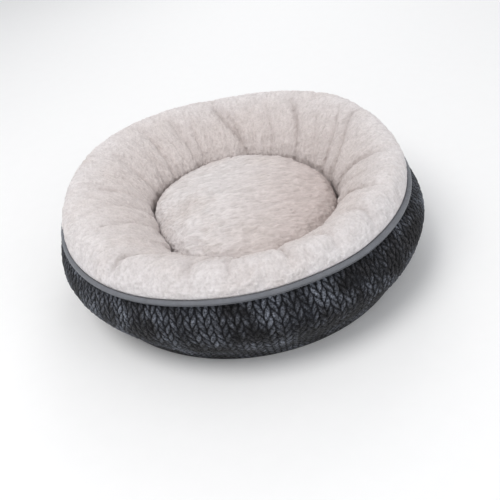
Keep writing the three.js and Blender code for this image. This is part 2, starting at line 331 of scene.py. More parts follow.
def plump(name, points, quads, pins, pressure, cap, frames=20):
    """Where the points of a closed fabric form end up after a short cloth simulation."""
    piece = mesh_object(name, points, quads, None)
    group = piece.vertex_groups.new(name="sewn")
    for share in np.unique(pins[pins > 0]):
        group.add([int(i) for i in np.flatnonzero(pins == share)], float(share), "REPLACE")
    cloth = piece.modifiers.new("cloth", "CLOTH")
    settings = cloth.settings
    settings.quality = 5
    settings.mass = 0.2
    settings.tension_stiffness = settings.compression_stiffness = 12
    settings.shear_stiffness = 4
    settings.bending_stiffness = 0.4
    settings.use_pressure = True
    settings.uniform_pressure_force = pressure
    settings.vertex_group_mass = "sewn"
    settings.effector_weights.gravity = 0
    cloth.point_cache.frame_start, cloth.point_cache.frame_end = 1, frames
    scene = bpy.context.scene
    for number in range(1, frames + 1):
        scene.frame_set(number)
    result = piece.evaluated_get(bpy.context.evaluated_depsgraph_get()).data
    moved = np.empty(len(points) * 3, np.float32)
    result.vertices.foreach_get("co", moved)
    bpy.data.objects.remove(piece)
    scene.frame_set(1)
    step = moved.reshape(-1, 3) - points
    far = np.linalg.norm(step, axis=1)[:, None]
    return step * np.minimum(1, cap / np.maximum(far, 1e-9))


# ---- The ring ----

# The ring's cover is gathered, because the nest is narrower than the crest. Each fold is
# given as: its bearing on the crest and at the nest in degrees from +X, its depth and the
# half-width of the hollow beside it in mm, and where along the cover it begins.
FOLDS = [
    (92, 80, 7.5, 10, 0.15),
    (89, 82, 3.0, 7, 0.24),
    (112, 112, 5.0, 9, 0.20),
    (104, 105, 4.5, 8, 0.30),
    (119, 120, 2.0, 7, 0.32),
    (127, 128, 5.5, 10, 0.18),
    (134, 135, 3.5, 8, 0.38),
    (148, 147, 4.5, 11, 0.32),
    (160, 157, 2.0, 9, 0.36),
    (174, 165, 3.0, 12, 0.24),
    (195, 177, 3.0, 12, 0.26),
    (206, 196, 4.0, 11, 0.22),
    (229, 239, 8.0, 12, 0.05),
    (240, 245, 3.5, 9, 0.08),
    (243, 251, 4.5, 10, 0.36),
    (253, 259, 5.0, 9, 0.05),
    (266, 266, 4.5, 8, 0.08),
    (282, 282, 5.5, 9, 0.08),
    (299, 288, 5.0, 10, 0.03),
    (313, 302, 6.0, 10, 0.01),
    (329, 337, 4.5, 10, 0.16),
    (341, 348, 2.5, 8, 0.28),
    (351, 1, 6.0, 11, 0.14),
    (24, 13, 7.0, 11, 0.10),
    (33, 23, 5.5, 9, 0.20),
    (45, 35, 2.5, 8, 0.28),
    (58, 46, 6.5, 10, 0.17),
    (69, 64, 3.5, 10, 0.20),
]
CREST_SHARE, NEST_SHARE = 0.19, 0.65

# A soft bed never stands quite round. The rim leans over by this much, and each swell or dip
# below is a bearing and a half-width in degrees, then movements in mm: outwards and upwards
# at the crest, and inwards at the nest and at the foot of the wall.
RIM_LEAN = (-6 * MM, -2 * MM)
CREST_SWELLS = [
    (125, 38, 7.0, 2.5),
    (42, 28, 10.5, 4.5),
    (88, 15, 1.0, -1.0),
    (270, 50, 3.0, -5.0),
    (185, 35, -3.0, 0.0),
]
NEST_SWELLS = [(213, 42, 17.0), (184, 26, 13.0), (225, 7, -7.0)]
FOOT_TUCK = (236, 55, 5.5)


def swell(angles, bearing, half):
    off = (np.degrees(angles) - bearing + 180) % 360 - 180
    return np.exp(-((off / half) ** 2))


def nest_swell(angles):
    """How far the ring bulges in over the nest at each bearing, in metres."""
    return sum(
        inwards * MM * swell(angles, bearing, half) for bearing, half, inwards in NEST_SWELLS
    )


def piping_line(angles):
    """The piping's radius at each bearing, and how far the seam wanders outwards and up.

    The seam rises at the front and stands in at the left. The piping is pulled a little
    thinner than in the CAD except at the right front.
    """
    ring = outward(angles)
    sway = np.stack([noise(ring * 3, 1.0, seed) for seed in (51, 52)], 1) * (0.7 * MM, 1.3 * MM)
    sway[:, 0] -= 3 * MM * swell(angles, 185, 35)
    sway[:, 1] += 3.5 * MM * swell(angles, 268, 28)
    pulled = 1.1 * MM
    return PIPING_R - pulled + pulled * swell(angles, 335, 40), sway


def small_gathers():
    """Shallow gathers low on the slope, about every 6 degrees, given as the folds are."""
    rng = np.random.default_rng(11)
    count, apart = 60, 6
    return [
        (
            bearing,
            bearing + rng.uniform(-3, 3),
            rng.uniform(1.2, 3.0),
            rng.uniform(4, 7),
            rng.uniform(0.42, 0.55),
        )
        for bearing in apart * np.arange(count) + rng.uniform(-3, 3, count)
    ]


def gathers(angles, shares):
    """How far the gathered cover stands in from its plain form, in metres, on a (T, S) grid."""
    a, s = np.meshgrid(angles, shares, indexing="ij")
    lines = [0, CREST_SHARE, NEST_SHARE, 1]
    radius = np.interp(shares, lines, [RIM_R, CREST_R, NEST_R, INNER_SEAM_R])
    down = smoothstep(CREST_SHARE, NEST_SHARE, s)
    depth = np.zeros_like(a)
    for crest, nest, deep, half, begin in FOLDS + small_gathers():
        turn = (nest - crest + 180) % 360 - 180
        bearing = np.radians(crest + turn * down + 1.2 * np.sin(9 * s + crest))
        off = (a - bearing + math.pi) % TAU - math.pi
        x = off * radius[None, :] / MM
        grows = smoothstep(begin - 0.03, begin + 0.15, s) * (1 - 0.75 * smoothstep(0.7, 1, s))
        crease = 0.4 / (1 + (x / (0.22 * half)) ** 2) ** 1.5
        hollow = 0.65 * np.exp(-((x / half) ** 2))
        depth += deep * MM * grows * (crease + hollow)
    deepest = 12 * MM
    return deepest * np.tanh(depth / deepest)


def lumps(angles, shares, seed):
    """Broad unevenness of the stuffing, fading to nothing at the seams."""
    a, s = np.meshgrid(angles, shares, indexing="ij")
    p = np.stack([2.1 * np.cos(a), 2.1 * np.sin(a), 2.2 * s], -1)
    broad = noise(p, 1.0, seed) + 0.5 * noise(p, 0.45, seed + 1)
    return 2.3 * MM * broad * np.sin(math.pi * np.clip(s, 0, 1)) ** 0.6


def cover_form(angles, shares):
    rz = cover_profile(shares)
    normal = profile_normals(rz)
    push = lumps(angles, shares, 3) - gathers(angles, shares)
    grid = revolve(rz + push[..., None] * normal, angles)
    out = outward(angles)[:, None]
    leans = 1 - smoothstep(CREST_SHARE, 0.55, shares)
    crest = smoothstep(0, 0.14, shares) * (1 - smoothstep(0.3, 0.6, shares))
    nest = smoothstep(0.32, 0.62, shares) * (1 - smoothstep(0.75, 1, shares))
    grid += leans[None, :, None] * np.array([*RIM_LEAN, 0])
    radius, sway = piping_line(angles)
    grid[..., 2] += (sway[:, 1] + radius - PIPING_R)[:, None] * smoothstep(0.12, 0, shares)
    grid += (sway[:, :1] * smoothstep(0.2, 0, shares))[..., None] * out
    for bearing, half, wider, higher in CREST_SWELLS:
        share = (swell(angles, bearing, half)[:, None] * crest * MM)[..., None]
        grid += share * (wider * out + np.array([0, 0, higher]))
    return grid - (nest_swell(angles)[:, None] * nest)[..., None] * out


def wall_form(angles, shares):
    rz = wall_profile(shares)
    normal = profile_normals(rz)
    push = 0.6 * lumps(angles, shares, 7)
    grid = revolve(rz + push[..., None] * normal, angles)
    grid += (shares**3)[None, :, None] * np.array([*RIM_LEAN, 0])
    radius, sway = piping_line(angles)
    grid[..., 2] += (sway[:, 1] - radius + PIPING_R)[:, None] * smoothstep(0.75, 1, shares)
    out = outward(angles)[:, None]
    grid += (sway[:, :1] * smoothstep(0.8, 1, shares))[..., None] * out
    return grid - foot_tuck(angles)[:, None] * smoothstep(0.95, 0.1, shares)[None, :, None]


def foot_tuck(angles):
    """How far the foot of the wall is tucked in, as vectors."""
    bearing, half, inwards = FOOT_TUCK
    depth = swell(angles, bearing, half) * inwards * MM
    return depth[:, None] * outward(angles)


def even_part(step, angles):
    """The part of a movement that is the same all the way round."""
    out = outward(angles)[:, None]
    radial = (step * out).sum(-1).mean(0)[None, :, None] * out
    return radial + step[..., 2].mean(0)[None, :, None] * np.array([0, 0, 1])


def plump_ring():
    """Movement of the wall's and the cover's coarse grids under the stuffing's pressure."""
    angles = turned_angles(300)
    wall_count, cover_count, floor_count = 16, 48, 7
    wall = wall_form(angles, np.linspace(0, 1, wall_count))
    cover = cover_form(angles, np.linspace(0, 1, cover_count))
    floor_r = np.linspace(INNER_SEAM_R, BASE_R, floor_count + 2)[1:-1]
    floor_z = np.interp(floor_r, [INNER_SEAM_R, BASE_R], [SEAM_Z, WALL_FOOT_Z])
    floor = revolve(np.stack([floor_r, floor_z], 1), angles)
    loop = np.concatenate([wall, cover, floor], 1)
    wall_top = wall_count - 1
    cover_end = wall_count + cover_count
    # Held at the foot, at the piping and along the floor, and loosely next to the first two
    pins = np.zeros(loop.shape[:2])
    pins[:, [0, wall_top, wall_top + 1]] = 1
    pins[:, [1, wall_top - 1, wall_top + 2]] = 0.4
    pins[:, cover_end - 2 :] = 1
    quads = grid_faces(*loop.shape[:2], True, True)
    step = plump(
        "ring_form", loop.reshape(-1, 3), quads, pins.ravel(), pressure=2.5, cap=8 * MM
    )
    step = step.reshape(loop.shape)
    puffed = step - even_part(step, angles)
    return puffed[:, :wall_count], puffed[:, wall_count:cover_end]


# ---- Materials ----


def node_material(name):
    material = bpy.data.materials.new(name)
    material.use_nodes = True
    tree = material.node_tree
    tree.nodes.clear()
    output = tree.nodes.new("ShaderNodeOutputMaterial")
    shader = tree.nodes.new("ShaderNodeBsdfPrincipled")
    tree.links.new(shader.outputs[0], output.inputs[0])
    place = tree.nodes.new("ShaderNodeTexCoord")
    return material, tree, shader, place.outputs["Object"]


def add_node(tree, kind, inputs=None, **settings):
    node = tree.nodes.new(kind)
    for key, value in settings.items():
        setattr(node, key, value)
    for key, value in (inputs or {}).items():
        socket = node.inputs[key]
        if isinstance(value, bpy.types.NodeSocket):
            tree.links.new(value, socket)
        else:
            socket.default_value = value
    return node


def noise_node(tree, place, scale, detail=3.0, stretch=None):
    if stretch:
        mapping = add_node(tree, "ShaderNodeMapping", {"Vector": place, "Scale": stretch})
        place = mapping.outputs[0]
    inputs = {"Vector": place, "Scale": scale, "Detail": detail, "Roughness": 0.6}
    return add_node(tree, "ShaderNodeTexNoise", inputs).outputs["Fac"]


def ramp(tree, factor, stops):
    node = add_node(tree, "ShaderNodeValToRGB", {"Fac": factor})
    elements = node.color_ramp.elements
    while len(elements) < len(stops):
        elements.new(0.5)
    for element, (at, colour) in zip(elements, stops):
        element.position = at
        element.color = (*colour, 1)
    return node.outputs["Color"]


def mix(tree, factor, a, b, blend="MIX"):
    node = add_node(tree, "ShaderNodeMix", data_type="RGBA", blend_type=blend)
    for key, value in ((0, factor), (6, a), (7, b)):
        if isinstance(value, bpy.types.NodeSocket):
            tree.links.new(value, node.inputs[key])
        else:
            node.inputs[key].default_value = value if key == 0 else (*value, 1)
    return node.outputs[2]


def bump(tree, height, strength, distance, normal=None):
    inputs = {"Height": height, "Strength": strength, "Distance": distance}
    if normal:
        inputs["Normal"] = normal
    return add_node(tree, "ShaderNodeBump", inputs).outputs["Normal"]


def attribute(tree, name):
    return add_node(tree, "ShaderNodeAttribute", attribute_name=name).outputs["Fac"]


def set_shader(tree, shader, colour, roughness, normal=None, **constants):
    for key, value in (("Base Color", colour), ("Roughness", roughness), ("Normal", normal)):
        if isinstance(value, bpy.types.NodeSocket):
            tree.links.new(value, shader.inputs[key])
        elif value is not None:
            shader.inputs[key].default_value = (*value, 1) if key == "Base Color" else value
    for key, value in constants.items():
        shader.inputs[key.replace("_", " ")].default_value = value


def plush_material(name, lit_cool, shaded_warm, blush, shade, nap, hollow):
    """Short pale pile: a cool lit tone and a warm tone of painted shade, blushed in patches, with painted
    shade in the folds and between the tufts and painted highlight on their tips and grain.
    """
    material, tree, shader, place = node_material(name)
    # Painted light and shade: the cool tone stands for lit cloth and the warm, darker one for shaded
    # cloth, mixed by the attribute read here.
    tone = mix(tree, attribute(tree, "painted_shade_warmth"), lit_cool, shaded_warm)
    patches = ramp(tree, noise_node(tree, place, 14, 3), [(0.45, (0, 0, 0)), (0.7, (1, 1, 1))])
    tone = mix(tree, patches, tone, mix(tree, 0.6, tone, blush))
    # Painted shade between the tufts and painted highlight on their tips, from the pile's height.
    tuft_shade_and_highlight = ramp(tree, attribute(tree, "tufts"), [(0.15, hollow), (0.75, (1.04,) * 3)])
    tone = mix(tree, 1.0, tone, tuft_shade_and_highlight, "MULTIPLY")
    grain = noise_node(tree, place, 380, 5, nap)
    # Fine grain of the pile: partly its own tone, partly painted glints and shade.
    grain_and_glints = ramp(tree, grain, [(0.34, (0.86, 0.85, 0.845)), (0.6, (1.04,) * 3)])
    tone = mix(tree, 0.8, tone, grain_and_glints, "MULTIPLY")
    # Painted shade: darker down in the ring's folds and along the cushion's rim, by the attribute read
    # here.
    tone = mix(tree, attribute(tree, "painted_fold_shade"), tone, shade)
    strands = noise_node(tree, place, 1400, 3, nap)
    normal = bump(tree, strands, 0.8, 0.001, bump(tree, grain, 1.0, 0.002))
    set_shader(
        tree, shader, tone, 1.0, normal, Sheen_Weight=0.12, Sheen_Roughness=0.5, IOR=1.25
    )
    return material


def wall_material():
    """Dark embossed plush: leaves paler on top, partly their own worn tone and partly painted highlight,
    near-black grooves of painted shade, painted highlight and shade in the nap, and nap brushed into
    patches.
    """
    material, tree, shader, place = node_material("wall_plush")
    patches = noise_node(tree, place, 20, 4)
    fine = noise_node(tree, place, 520, 4)
    leaf = attribute(tree, "relief")
    # Painted shade: near black down in the grooves; the leaves' tops paler, partly their own tone and
    # partly painted highlight.
    dark = ramp(tree, patches, [(0.38, (0.004, 0.004, 0.005)), (0.65, (0.010, 0.011, 0.015))])
    pale = ramp(tree, patches, [(0.42, (0.024, 0.024, 0.027)), (0.6, (0.14, 0.152, 0.18))])
    tone = mix(tree, ramp(tree, leaf, [(0.25, (0, 0, 0)), (0.9, (1, 1, 1))]), dark, pale)
    # Painted shade between the nap's tufts and painted highlight on their tips, from the pile's height.
    tuft_shade_and_highlight = ramp(tree, attribute(tree, "tufts"), [(0.2, (0.5,) * 3), (0.8, (1.5,) * 3)])
    tone = mix(tree, 0.9, tone, tuft_shade_and_highlight, "MULTIPLY")
    # Painted glints: fibres of the nap as bright specks catching light, over darker grain.
    grain_and_glints = ramp(tree, fine, [(0.36, (0.22,) * 3), (0.64, (1.85,) * 3)])
    tone = mix(tree, 1.0, tone, grain_and_glints, "MULTIPLY")
    normal = bump(tree, fine, 1.0, 0.0016)
    set_shader(
        tree, shader, tone, 0.95, normal, Sheen_Weight=0.12, Sheen_Roughness=0.4, IOR=1.3
    )
    return material


def threads(tree, place, scale, direction):
    inputs = {"Vector": place, "Scale": scale, "Distortion": 0.4}
    return add_node(tree, "ShaderNodeTexWave", inputs, bands_direction=direction).outputs["Fac"]


def calculate(tree, operation, a, b):
    return add_node(tree, "ShaderNodeMath", {0: a, 1: b}, operation=operation).outputs[0]


def specked(tree, amount, colour, specks, stops):
    """A colour multiplied by a ramp of greys over a noise."""
    greys = ramp(tree, specks, [(at, (grey,) * 3) for at, grey in stops])
    return mix(tree, amount, colour, greys, "MULTIPLY")


def weave_material(name, colour, thread, roughness, contrast=0.3, sheen=0.0):
    """Plain woven cloth: two crossing sets of threads, a little uneven."""
    material, tree, shader, place = node_material(name)
    scale = TAU / thread / 20  # at a scale of 1 the wave texture turns by 20 radians a metre
    warp, weft, rise = (threads(tree, place, scale, direction) for direction in "XYZ")
    weave = calculate(tree, "ADD", calculate(tree, "MULTIPLY", warp, weft), rise)
    slub = noise_node(tree, place, 120, 3)
    tone = specked(tree, contrast, colour, slub, [(0.3, 0.55), (0.7, 1.3)])
    normal = bump(tree, weave, 0.35, 0.0004)
    set_shader(tree, shader, tone, roughness, normal, Sheen_Weight=sheen, IOR=1.4)
    return material


def fibre_material(name, colour):
    material, tree, shader, place = node_material(name)
    wisps = noise_node(tree, place, 260, 6, (1, 3, 1))
    tone = specked(tree, 0.3, colour, wisps, [(0.35, 0.7), (0.6, 1)])
    set_shader(tree, shader, tone, 1.0, bump(tree, wisps, 0.8, 0.002), IOR=1.3)
    return material


def metal_material():
    material, tree, shader, place = node_material("zip_metal")
    brushed = noise_node(tree, place, 900, 3, (1, 1, 8))
    tone = mix(tree, brushed, (0.46, 0.46, 0.47), (0.6, 0.6, 0.6))
    rough = ramp(tree, brushed, [(0.3, (0.28,) * 3), (0.7, (0.42,) * 3)])
    set_shader(tree, shader, tone, rough, bump(tree, brushed, 0.15, 0.0002), Metallic=1.0)
    return material


def plastic_material(name, colour):
    material, tree, shader, place = node_material(name)
    specks = noise_node(tree, place, 700, 2)
    tone = specked(tree, 0.2, colour, specks, [(0.3, 0.75), (0.7, 1)])
    set_shader(tree, shader, tone, 0.45, bump(tree, specks, 0.1, 0.0002), IOR=1.5)
    return material


# ---- Pieces ----


def build_cover(step):
    """The cover's plush, and its form and normals for the filling behind it."""
    thickness, pile = 4 * MM, 0.75 * MM
    angles, shares = turned_angles(960), np.linspace(0, 1, 140)
    cover = cover_form(angles, shares)
    if step is not None:
        cover = cover + resample(step, *cover.shape[:2], True)
    normals = ring_normals(cover)
    # Painted shade in the folds, the darker the deeper the gathers.
    painted_fold_shade = 0.62 * np.clip(gathers(angles, shares) / (10 * MM), 0, 1) ** 1.6
    inner = cover[:, ::6] - thickness * normals[:, ::6]
    fade = np.minimum(smoothstep(0, 0.02, shares), smoothstep(1, 0.9, shares))[None, :]
    a, s = np.meshgrid(angles, shares, indexing="ij")
    combed = np.stack([0.18 * np.cos(a), 0.18 * np.sin(a), 0.25 * s], -1)
    tufts = 1.2 * noise(combed, (2.4 * MM, 2.4 * MM, 7 * MM), 21)
    tufts += 0.5 * noise(cover, 9 * MM, 22) + 0.8 * noise(cover, 2.6 * MM, 23)
    plush = cover + normals * (pile * tufts * fade)[..., None]
    # Painted shade: the crest keeps the cool, lit tone, and the slope down to the nest takes the warm,
    # darker shaded one.
    painted_shade_warmth = np.broadcast_to(smoothstep(0.0, 0.5, shares), a.shape)
    values = {"painted_fold_shade": painted_fold_shade, "painted_shade_warmth": painted_shade_warmth, "tufts": 0.5 + 0.25 * tufts}
    piece = ring_shell("bolster_plush", plush, inner, cream, values)
    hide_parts("bolster_cover")
    return piece, cover, normals


def embossing(wall, angles, shares, columns):
    """The braid pressed into the wall: upright columns of leaves that lean left and right by turns.

    Gives how far up its leaf each point is, and how much of that leaf's height is left.
    """
    steep, pitch = math.radians(39), 10.8 * MM
    across = angles[:, None] / TAU * columns + 0.3 * noise(wall, 45 * MM, 32)
    width = TAU * WALL_R / columns
    length = np.linalg.norm(np.diff(wall_profile(shares), axis=0), axis=1).sum()
    sway = 0.12 * noise(wall, 26 * MM, 31)
    x = across % 1 - 0.5
    lean = np.where(np.floor(across) % 2 == 0, 1, -1)
    y = shares[None, :] * length + 8 * MM * sway
    band = (y - lean * x * width / math.tan(steep)) / pitch + 0.5 * (lean > 0)
    v = band % 1 - 0.5
    odd = lattice(np.floor(band).astype(np.int64), np.floor(across).astype(np.int64), 0, 34)
    half = 0.5 * np.sqrt(np.clip(1 - 0.7 * (2 * x) ** 2, 0, 1))
    leaf = np.sqrt(np.clip(1 - (v / half) ** 2, 0, 1)) * np.clip(1 - (2 * x) ** 6, 0, 1)
    wear = 0.72 + 0.32 * noise(wall, 18 * MM, 33) + 0.12 * odd
    return leaf, wear


def build_wall(step):
    """The wall's embossed plush, and its plain form for the filling behind it."""
    thickness, relief, pile = 3.6 * MM, 2.0 * MM, 0.5 * MM
    columns, column_points = 188, 8
    angles, shares = turned_angles(columns * column_points), np.linspace(0, 1, 88)
    wall = wall_form(angles, shares)
    if step is not None:
        wall = wall + resample(step, *wall.shape[:2], True)
    normals = ring_normals(wall)
    leaf, wear = embossing(wall, angles, shares, columns)
    edge = np.minimum(smoothstep(0, 0.03, shares), smoothstep(1, 0.97, shares))[None, :]
    nap = noise(wall, 2.4 * MM, 35) + 0.7 * noise(wall, 5 * MM, 36)
    rise = (relief * (leaf - 0.6) * wear + pile * nap) * edge
    embossed = wall + normals * rise[..., None]
    inner = wall[:, ::8] - thickness * normals[:, ::8]
    # The relief attribute also sets the painted highlight on the leaves and the painted shade in the
    # grooves.
    values = {"relief": leaf * np.clip(wear, 0, 1), "tufts": 0.5 + 0.25 * nap}
    piece = ring_shell("wall_plush", embossed, inner, dark, values)
    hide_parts("outer_wall_panel")
    return piece, wall


def build_bolster_stuffing(cover, cover_normals, wall):
    """The ring's filling, right behind the cover and the wall."""
    cover_depth, wall_depth, floor_gap = 6.5 * MM, 6 * MM, 1.5 * MM
    behind_cover = cover[::4, 3:-3:4] - cover_depth * cover_normals[::4, 3:-3:4]
    thinned = resample(wall, len(behind_cover), 16, True)
    behind_wall = (thinned - wall_depth * ring_normals(thinned))[:, 1:-1]
    core = np.concatenate([behind_wall, behind_cover], 1)
    core[..., 2] = np.maximum(core[..., 2], BASE_TOP + floor_gap)
    fluffed = core + ring_normals(core) * (1.2 * MM * noise(core, 9 * MM, 41))[..., None]
    quads = grid_faces(*core.shape[:2], True, True)
    filling = mesh_object("bolster_stuffing", fluffed, quads, fibre)
    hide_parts("bolster_fill")
    return filling


def build_piping():
    """The folded strip round its cord, wandering a little with the seam, and the cord inside it."""
    angles, around = turned_angles(900), turned_angles(20)
    radius, sway = piping_line(angles)
    set_in = 0.8 * MM

    def tube(inset, ridges):
        a, b = np.meshgrid(angles, around, indexing="ij")
        creases = noise(outward(angles) * PIPING_PATH_R, 2.6 * MM, 53) * ridges
        thick = (radius - inset + creases)[:, None]
        r = PIPING_PATH_R - set_in + sway[:, :1] + thick * np.cos(b)
        z = PIPING_Z + sway[:, 1:] + thick * np.sin(b)
        return np.stack([r * np.cos(a) + RIM_LEAN[0], r * np.sin(a) + RIM_LEAN[1], z], -1)

    strip = ring_shell("piping", tube(0, 0.16 * MM), tube(0.9 * MM, 0), grey)
    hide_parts("piping_strip")
    quads = grid_faces(len(angles), len(around), True, True)
    core = mesh_object("piping_core", tube(1.3 * MM, 0.1 * MM), quads, cotton)
    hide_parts("piping_cord")
    return strip, core


# The cool tone is the lit colour and the warm one painted shade; shade is the painted shade in the folds,
# hollow the painted shade between the tufts.
cream = plush_material(
    "cream_plush",
    lit_cool=(0.876, 0.84, 0.845),
    shaded_warm=(0.765, 0.70, 0.682),
    blush=(0.78, 0.71, 0.685),
    shade=(0.42, 0.36, 0.34),
    nap=(1, 1, 1),
    hollow=(0.88, 0.872, 0.868),
)
dark = wall_material()
grey = weave_material(
    "piping_satin", (0.158, 0.166, 0.186), thread=0.0006, roughness=0.5, contrast=0.25, sheen=0.15
)
fibre = fibre_material("polyester_fibre", (0.85, 0.85, 0.84))
cotton = weave_material("cotton_cord", (0.72, 0.7, 0.64), 0.0012, 0.9)

aim_camera(target=(0.0029, -0.0028, 0), distance=0.935, elevation=36.9, roll=-11.0, lens=45.65)
light_scene()

wall_step, cover_step = plump_ring()
bolster_plush, cover, cover_normals = build_cover(cover_step)
wall_plush, wall = build_wall(wall_step)
bolster_stuffing = build_bolster_stuffing(cover, cover_normals, wall)
piping, piping_core = build_piping()
for piece in (bolster_plush, wall_plush, bolster_stuffing, piping, piping_core):
    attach(piece, "bed")


# ---- The cushion ----


def disc_grid(count):
    """A square grid drawn out to a unit disc: distance from the centre and bearing at each point."""
    x, y = np.meshgrid(np.linspace(-1, 1, count), np.linspace(-1, 1, count), indexing="ij")
    u, v = x * np.sqrt(1 - y * y / 2), y * np.sqrt(1 - x * x / 2)
    return np.hypot(u, v).clip(0, 1), np.arctan2(v, u)


def panel_form(count, top, lift=0.0):
    """One panel of the cushion's cover, from the middle (rho 0) to the side seam (rho 1)."""
    rho, bearing = disc_grid(count)
    if top:
        # A superellipse: nearly flat in the middle and rounding over quickly at the side
        t = np.radians(np.linspace(90, 0, 400))
        power = 2 / 4.6
        crown = CUSHION_TOP + 1 * MM - SEAM_HEIGHT
        r = CUSHION_R * np.cos(t).clip(0) ** power
        z = SEAM_HEIGHT + crown * np.sin(t).clip(0) ** power
    else:
        corner, t = 22 * MM, np.linspace(0, math.pi / 2, 60)
        arc_r = CUSHION_R - corner + corner * np.sin(t)
        arc_z = CUSHION_BOTTOM + corner * (1 - np.cos(t))
        r = np.concatenate([[0], arc_r, [CUSHION_R]])
        below_seam = 0.6 * MM
        z = np.concatenate([[CUSHION_BOTTOM], arc_z, [SEAM_HEIGHT - below_seam]])
    rz = along(np.stack([r, z], 1), rho)
    # Along the zip, at the back, the two panels part from each other by twice the lift
    past_zip, on_zip = math.radians(51.5), math.radians(49)
    open_zip = smoothstep(past_zip, on_zip, np.abs(bearing - math.pi / 2))
    edge = smoothstep(0.94, 1.0, rho)
    rz[..., 1] += (1 if top else -1) * lift * open_zip * edge
    # The edge yields to the swollen ring, bulges over the seam and has one deep dent
    yields = nest_swell(bearing).clip(0) / CUSHION_R
    plumper = 2.5 * MM * smoothstep(0.75, 0.85, rho) * smoothstep(1, 0.93, rho)
    plumper -= 8 * MM * swell(bearing, 226, 8) * smoothstep(0.7, 0.9, rho)
    r = rz[..., 0] * (1 - yields) + plumper
    return np.stack([r * np.cos(bearing), r * np.sin(bearing), rz[..., 1]], -1)


def disc_normals(grid, top):
    n = np.cross(np.gradient(grid, axis=0), np.gradient(grid, axis=1))
    n /= np.linalg.norm(n, axis=-1)[..., None] + 1e-12
    # At a corner of the square both grid lines run along the rim, so its normal is its neighbour's
    for i, beside_i in ((0, 1), (-1, -2)):
        for j, beside_j in ((0, 1), (-1, -2)):
            n[i, j] = n[beside_i, beside_j]
    return n if top else -n


def rim_of(count):
    """Indices of a square grid's border, in order round it."""
    i = np.arange(count - 1)
    last = count - 1
    return np.concatenate([i * count, last * count + i, (last - i) * count + last, last - i])


def disc_shell(name, outer, inner, material, top, attributes=None):
    """A closed shell: an outer and an inner disc grid, joined along their borders."""
    count = len(outer)
    a = grid_faces(count, count)
    b = grid_faces(count, count, first=count * count)
    rim = rim_of(count)
    after = np.roll(rim, -1)
    wall = np.stack([rim, rim + count * count, after + count * count, after], 1)
    if top:
        quads = np.concatenate([a, b[:, ::-1], wall])
    else:
        quads = np.concatenate([a[:, ::-1], b, wall[:, ::-1]])
    points = np.concatenate([outer.reshape(-1, 3), inner.reshape(-1, 3)])
    filled = {k: np.concatenate([v.ravel(), v.ravel()]) for k, v in (attributes or {}).items()}
    return mesh_object(name, points, quads, material, filled)


def sewn_forms(count):
    """Both panels' coarse grids sewn together along the seam.

    Gives all their points, which of them are in use, and the quads between those.
    """
    forms = [panel_form(count, top).reshape(-1, 3) for top in (True, False)]
    area = count * count
    rim = rim_of(count)
    joined = np.arange(2 * area)
    joined[rim + area] = rim
    upper = grid_faces(count, count)
    lower = grid_faces(count, count, first=area)[:, ::-1]
    used, index = np.unique(joined[np.concatenate([upper, lower])], return_inverse=True)
    return np.concatenate(forms), used, index.reshape(-1, 4)


def plump_cushion():
    """Movement of the two panels' coarse grids as the stuffing presses them out from the seam."""
    count = 64
    points, used, quads = sewn_forms(count)
    rim = rim_of(count)
    seam = np.isin(used, rim)
    drawn_in = points[used] * np.where(seam, 1.0, 0.985)[:, None]
    whole = np.zeros_like(points)
    whole[used] = plump("cushion_form", drawn_in, quads, seam * 0.6, pressure=3.0, cap=9 * MM)
    whole[rim + count * count] = whole[rim]
    return whole.reshape(2, count, count, 3)


def build_panel(name, node, top, count, step):
    """One panel of the cushion's cover, puckered along the seam and combed sideways."""
    thickness, pile = 3.5 * MM, 0.75 * MM
    grid = panel_form(count, top, 5 * MM)
    rho, bearing = disc_grid(count)
    if step is not None:
        grid = grid + resample(step, count, count, False) * smoothstep(1, 0.9, rho)[..., None]
    normals = disc_normals(grid, top)
    inside = smoothstep(1, 0.85, rho)
    dents = 2.4 * MM * noise(grid, 58 * MM, 61) + 1.0 * MM * noise(grid, 24 * MM, 62)
    spacing = 11 * MM
    x = (np.degrees(bearing) * CUSHION_R / 57.3 + 3 * MM * noise(grid, 30 * MM, 64)) / spacing
    deep = (1.6 + 1.6 * swell(bearing, 195, 40)) * MM
    ripples = np.abs(np.sin(math.pi * x)) ** 0.6
    puckers = deep * ripples * smoothstep(0.6, 0.86, rho) * smoothstep(1, 0.93, rho)
    push = dents * (1 if top else 0.2) + puckers - 0.8 * MM
    grid = grid + normals * (push * inside)[..., None]
    ridges = 0.9 * MM * noise(grid, (42 * MM, 10 * MM, 10 * MM), 67) * inside
    streaks = 1.2 * noise(grid, (12 * MM, 2.8 * MM, 2.8 * MM), 63)
    streaks = streaks + 0.8 * noise(grid, (4 * MM, 2 * MM, 2 * MM), 65)
    tufts = streaks + 0.6 * noise(grid, 7 * MM, 66)
    rise = (pile * tufts + ridges) * smoothstep(1, 0.97, rho)
    combed = grid + normals * rise[..., None]
    if not top:
        combed[..., 2] = np.maximum(combed[..., 2], CUSHION_BOTTOM)
        grid[..., 2] = np.maximum(grid[..., 2], CUSHION_BOTTOM + 1 * MM)
    inner = grid - thickness * normals
    # Painted shade: the cushion keeps the cool, lit tone on its left, towards the key light, and takes the
    # warm, darker shaded one towards the right.
    rightwards = (grid[..., 0] - 0.3 * grid[..., 1]) / CUSHION_R
    # Painted shade along the panel's rim, where it meets the ring and the other panel.
    values = {
        "painted_fold_shade": 0.5 * smoothstep(0.93, 1, rho),
        "painted_shade_warmth": smoothstep(-0.45, 1.0, rightwards),
        "tufts": 0.5 + 0.22 * tufts,
    }
    piece = disc_shell(name, combed, inner, cushion_cream, top, values)
    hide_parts(node)
    return piece


